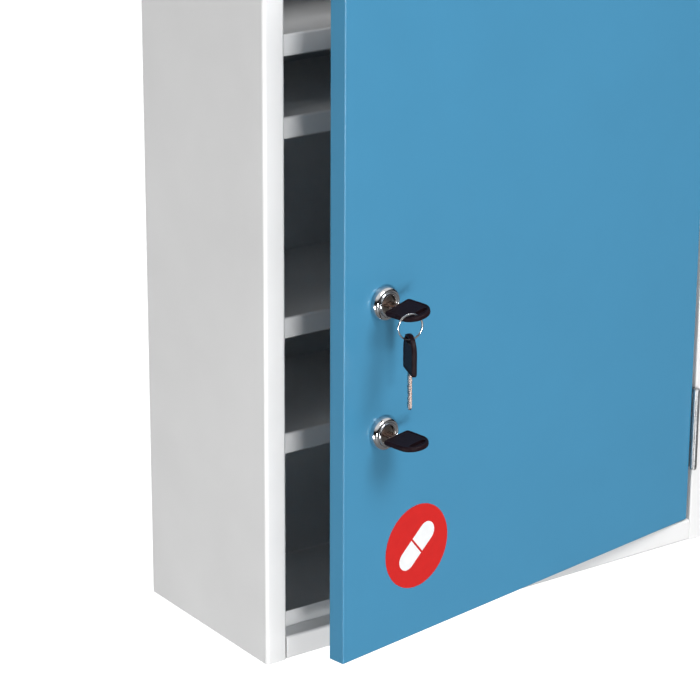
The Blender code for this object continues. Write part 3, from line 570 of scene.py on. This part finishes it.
# ---------------------------------------------------------------- cabinet
def cabinet():
    """The sheet metal and the small hardware, each in its CAD shape."""
    for node in ('side_left', 'side_right', 'top_panel', 'bottom_panel', 'back_panel', 'door_stiffener'):
        refined(node, 'powder_white')
    refined('door_pan', 'powder_blue')
    for node in frame['nodes']:
        if node.startswith('shelf_'):
            refined(node, 'powder_white', SHELF_EDGE)
        elif node.startswith('standard_'):
            refined(node, 'powder_grey', FINE_EDGE)
        elif node.startswith('clip_'):
            refined(node, 'zinc_steel', FINE_EDGE)
        elif node.startswith('hinge_') or node.endswith(('_nut', '_cam', '_cam_screw')):
            refined(node, 'zinc_steel', FINE_EDGE, HARDWARE_SHARP)


# ---------------------------------------------------------------- studio
def area_light(name, place, target, size, energy):
    light = bpy.data.lights.new(name, 'AREA')
    light.shape = 'RECTANGLE'
    light.size, light.size_y = size
    light.energy = energy
    item = linked(name, light)
    item.location = place
    item.rotation_euler = (Vector(target) - Vector(place)).to_track_quat('-Z', 'Y').to_euler()
    return light


def by_ray(tree, kind, otherwise, along):
    """One value on rays of that kind and another on the rest, for the stage alone."""
    path = tree.nodes.new('ShaderNodeLightPath')
    spread = tree.nodes.new('ShaderNodeMapRange')
    spread.inputs['To Min'].default_value = otherwise
    spread.inputs['To Max'].default_value = along
    tree.links.new(path.outputs[kind], spread.inputs['Value'])
    return spread.outputs['Result']


def mixed(tree, factor, source, grey):
    """The source's colour, or where the factor is 1 a plain grey."""
    mix = tree.nodes.new('ShaderNodeMix')
    mix.data_type = 'RGBA'
    first, second, result = mix.inputs[6], mix.inputs[7], mix.outputs[2]    # the colour sockets
    second.default_value = (grey, grey, grey, 1)
    tree.links.new(source, first)
    tree.links.new(factor, mix.inputs['Factor'])
    return result


def floor():
    """Pale floor far below, white to the camera and darker in the chrome."""
    drawing = bmesh.new()
    bmesh.ops.create_grid(drawing, x_segments=4, y_segments=4, size=FLOOR_HALF)
    item = as_object('floor', drawing)
    item.location.z = FLOOR_Z
    paint = Finish('floor_pale')
    paint.shader.inputs['Emission Color'].default_value = (1, 1, 1, 1)
    glow = by_ray(paint.tree, 'Is Camera Ray', FLOOR_GLOW, FLOOR_GLOW_SEEN)
    paint.link(glow, paint.shader.inputs['Emission Strength'])
    pale = paint.ramp(paint.noise(0.6, 2), NOISE_LOW, FLOOR_DARK, NOISE_HIGH, FLOOR_LIGHT)
    paint.colour(mixed(paint.tree, by_ray(paint.tree, 'Is Glossy Ray', 0, 1), pale, FLOOR_MIRRORED))
    item.data.materials.append(paint.material)


def sky():
    """White to the camera; everything else sees it pale above and dark below the horizon."""
    world = bpy.data.worlds.new('studio')
    bpy.context.scene.world = world
    world.use_nodes = True
    tree = world.node_tree
    place = tree.nodes.new('ShaderNodeTexCoord')
    split = tree.nodes.new('ShaderNodeSeparateXYZ')
    ramp = tree.nodes.new('ShaderNodeValToRGB')
    low, high = ramp.color_ramp.elements
    low.position, low.color = SKY_DARK_AT, SKY_DARK
    high.position, high.color = SKY_PALE_AT, SKY_PALE
    tree.links.new(place.outputs['Generated'], split.inputs[0])
    tree.links.new(split.outputs['Z'], ramp.inputs['Fac'])
    seen = mixed(tree, by_ray(tree, 'Is Camera Ray', 0, 1), ramp.outputs['Color'], 1)
    tree.links.new(seen, tree.nodes['Background'].inputs['Color'])


def lights():
    """A broad light above, whose light isn't bounced on by chrome in bright specks, and two fills."""
    above = area_light('overhead', (0.2, -2.35, 2.4), (0, -0.2, 0), (1.3, 1.3), 67)
    above.cycles.max_bounces = 0
    area_light('low_left', (-1.05, -3.25, -0.35), (-0.1, -0.2, 0), (0.6, 0.6), 50)
    area_light('side_fill', (-1.9, -0.45, -1.0), (-0.2, -0.05, -0.1), (1.0, 1.3), 33)
    bpy.context.scene.view_settings.view_transform = 'Standard'


def camera():
    """The camera at the photograph's viewing angle."""
    yaw, pitch, roll = CAMERA_YAW, CAMERA_PITCH, CAMERA_ROLL
    ahead = Vector((sin(yaw) * cos(pitch), cos(yaw) * cos(pitch), -sin(pitch)))
    level = Vector((cos(yaw), -sin(yaw), 0))
    rise = level.cross(ahead)
    right = cos(roll) * level + sin(roll) * rise
    up = cos(roll) * rise - sin(roll) * level
    data = bpy.data.cameras.new('camera')
    data.sensor_width = CAMERA_SENSOR
    data.lens = CAMERA_LENS
    data.clip_end = 100
    item = linked('camera', data)
    place = Matrix((right, up, -ahead)).transposed().to_4x4()
    place.translation = Vector(CAMERA_PLACE)
    item.matrix_world = place
    bpy.context.scene.camera = item


camera()
cabinet()
label()
for which in ('upper', 'lower'):
    housing(which)
    plug(which)
    key(f'lock_{which}_key', lock_place(which) @ Matrix.Translation((0, -BOW_REACH, 0)), LOCK_KEY_SLOT_AT)
key_ring()
key('spare_key', spare_key_place(), SPARE_KEY_SLOT_AT)
floor()
sky()
lights()
